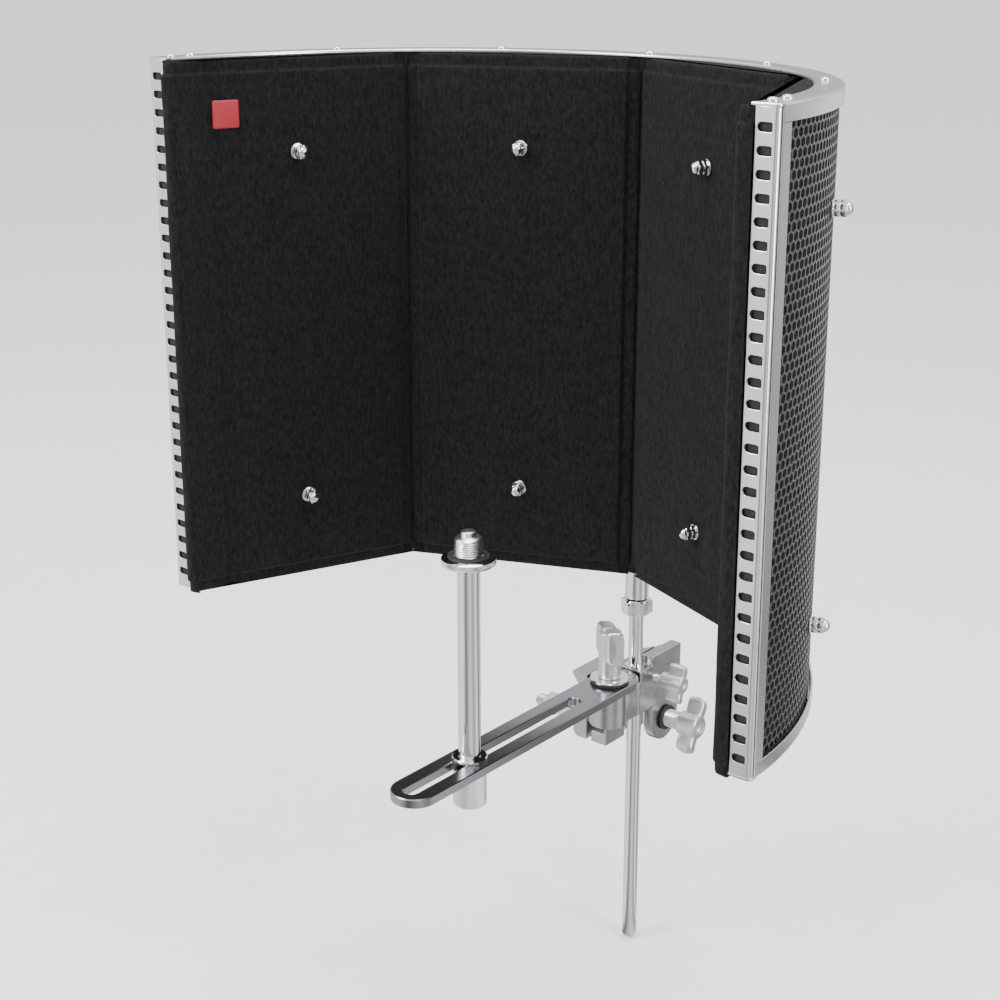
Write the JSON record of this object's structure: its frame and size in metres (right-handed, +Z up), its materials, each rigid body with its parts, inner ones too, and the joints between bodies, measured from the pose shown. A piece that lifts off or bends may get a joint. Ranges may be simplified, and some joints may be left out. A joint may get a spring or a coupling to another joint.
{
  "type": "microphone isolation shield",
  "caption": "Half-round sound-absorbing shield on a chrome rod, with a stand clamp and a slotted arm that carries a microphone post.",
  "frame": {"origin": "on the axis of the microphone stand's tube in the clamp's round seat, level with the stand-clamp screw", "axes": "+Z up, +Y towards the shield's closed back, +X to the right as the singer faces the shield"},
  "size_m": [0.4, 0.256, 0.5657],
  "materials": {
    "satin_aluminium": "brushed satin",
    "black_shell": "satin black",
    "felt": "dense fuzzy felt",
    "wool": "pressed wool",
    "foil": "bright foil",
    "bright_steel": "polished",
    "chrome": "mirror",
    "cast_aluminium": "satin cast",
    "black_rubber": "matt",
    "red_badge": "gloss"
  },
  "bodies": {
    "clamp": {"clamp_body": "cast_aluminium", "rod_bush": "chrome", "jaw_bolt": "bright_steel", "clamp_screw_ring": "black_rubber"},
    "side_jaw": {"clamp_side_plate": "cast_aluminium", "jaw_bolt_spacer": "bright_steel"},
    "side_nut": {"jaw_bolt_nut": "bright_steel"},
    "rod": {"support_rod": "chrome", "rod_lock_nut": "chrome"},
    "panel": {"top_rim": "satin_aluminium", "bottom_rim": "satin_aluminium", "perforated_shell": "black_shell", "rear_wool": "wool", "foil_layer": "foil", "inner_baffle": "black_shell", "right_end_post": "satin_aluminium", "left_end_post": "satin_aluminium", "felt_pad_left": "felt", "felt_pad_centre_left": "felt", "felt_pad_centre_right": "felt", "felt_pad_right": "felt", "badge": "red_badge", "through_bolts": "bright_steel", "air_gap_spacers": "bright_steel", "inner_washers": "bright_steel", "inner_hex_nuts": "bright_steel", "inner_dome_nuts": "bright_steel", "outer_washers": "bright_steel", "outer_hex_nuts": "bright_steel", "outer_dome_nuts": "bright_steel", "top_rim_screws": "bright_steel", "top_fixing_blocks": "bright_steel", "bottom_rim_screws": "bright_steel", "bottom_fixing_blocks": "bright_steel", "rod_socket_sleeve": "chrome", "rod_anchor_block": "bright_steel"},
    "arm": {"slotted_arm": "chrome", "pivot_rubber_washer": "black_rubber"},
    "mic_post": {"post_foot_washer": "bright_steel", "post_foot_stud": "bright_steel", "mic_post_tube": "chrome", "mic_thread_stud": "bright_steel"},
    "foot_clamp": {"under_arm_washer": "bright_steel"},
    "foot_nut": {"knurled_foot_nut": "chrome"},
    "disc_lift": {"disc_friction_ring": "black_rubber"},
    "disc": {"knurled_disc": "chrome"},
    "rod_screw": {"rod_screw_stud": "bright_steel"},
    "rod_wing": {"rod_screw_wing": "cast_aluminium"},
    "clamp_screw": {"clamp_screw_stud": "bright_steel", "clamp_pressure_pad": "black_rubber"},
    "clamp_wing": {"clamp_screw_wing": "cast_aluminium"},
    "pivot_bolt": {"pivot_stud": "bright_steel", "pivot_washer": "bright_steel"},
    "pivot_wing_body": {"pivot_wing": "cast_aluminium"}
  },
  "joints": [
    {"name": "panel_height", "type": "slide", "parent": "clamp", "child": "rod", "axis": [0, 0, 1], "range_m": [-0.02, 0.14]},
    {"name": "panel_swivel", "type": "hinge", "parent": "rod", "child": "panel", "pos_m": [0.012, -0.0235, 0.105], "axis": [0, 0, 1], "range_deg": [-45, 45]},
    {"name": "arm_swivel", "type": "hinge", "parent": "clamp", "child": "arm", "pos_m": [0.012, -0.051, 0.04], "axis": [0, 0, 1], "range_deg": [-60, 60]},
    {"name": "post_slide", "type": "slide", "parent": "arm", "child": "mic_post", "axis": [0, 1, 0], "range_m": [-0.048, 0.096]},
    {"name": "foot_nut_travel", "type": "slide", "parent": "mic_post", "child": "foot_clamp", "axis": [0, 0, -1], "range_m": [0, 0.00201]},
    {"name": "foot_nut_turn", "type": "hinge", "parent": "foot_clamp", "child": "foot_nut", "pos_m": [0.012, -0.1835, 0.025], "axis": [0, 0, -1], "range_deg": [0, 576]},
    {"name": "disc_travel", "type": "slide", "parent": "mic_post", "child": "disc_lift", "axis": [0, 0, 1], "range_m": [0, 0.00801]},
    {"name": "disc_turn", "type": "hinge", "parent": "disc_lift", "child": "disc", "pos_m": [0.012, -0.1835, 0.157], "axis": [0, 0, 1], "range_deg": [0, 3060.57]},
    {"name": "rod_screw_travel", "type": "slide", "parent": "clamp", "child": "rod_screw", "axis": [1, 0, 0], "range_m": [0, 0.00301]},
    {"name": "rod_screw_turn", "type": "hinge", "parent": "rod_screw", "child": "rod_wing", "pos_m": [0.032, -0.015, 0.033], "axis": [1, 0, 0], "range_deg": [0, 1080]},
    {"name": "clamp_screw_travel", "type": "slide", "parent": "clamp", "child": "clamp_screw", "axis": [-1, 0, 0], "range_m": [0, 0.00801]},
    {"name": "clamp_screw_turn", "type": "hinge", "parent": "clamp_screw", "child": "clamp_wing", "pos_m": [0.04, 0, 0], "axis": [-1, 0, 0], "range_deg": [0, 1920]},
    {"name": "pivot_bolt_travel", "type": "slide", "parent": "clamp", "child": "pivot_bolt", "axis": [0, 0, 1], "range_m": [0, 0.00301]},
    {"name": "pivot_bolt_turn", "type": "hinge", "parent": "pivot_bolt", "child": "pivot_wing_body", "pos_m": [0.012, -0.051, 0.055], "axis": [0, 0, 1], "range_deg": [0, 864]},
    {"name": "side_jaw_travel", "type": "slide", "parent": "clamp", "child": "side_jaw", "axis": [1, 0, 0], "range_m": [-0.00601, 0.00301]},
    {"name": "side_jaw_turn", "type": "hinge", "parent": "side_jaw", "child": "side_nut", "pos_m": [-0.055, -0.0195, -0.006], "axis": [1, 0, 0], "range_deg": [-1728, 864]}
  ],
  "couplings": [
    {"joint": "foot_nut_travel", "follows": "foot_nut_turn", "m_per_rad": 0.00019894},
    {"joint": "disc_travel", "follows": "disc_turn", "m_per_rad": 0.00014976},
    {"joint": "rod_screw_travel", "follows": "rod_screw_turn", "m_per_rad": 0.00015915},
    {"joint": "clamp_screw_travel", "follows": "clamp_screw_turn", "m_per_rad": 0.00023873},
    {"joint": "pivot_bolt_travel", "follows": "pivot_bolt_turn", "m_per_rad": 0.00019894},
    {"joint": "side_jaw_travel", "follows": "side_jaw_turn", "m_per_rad": 0.00019894}
  ]
}
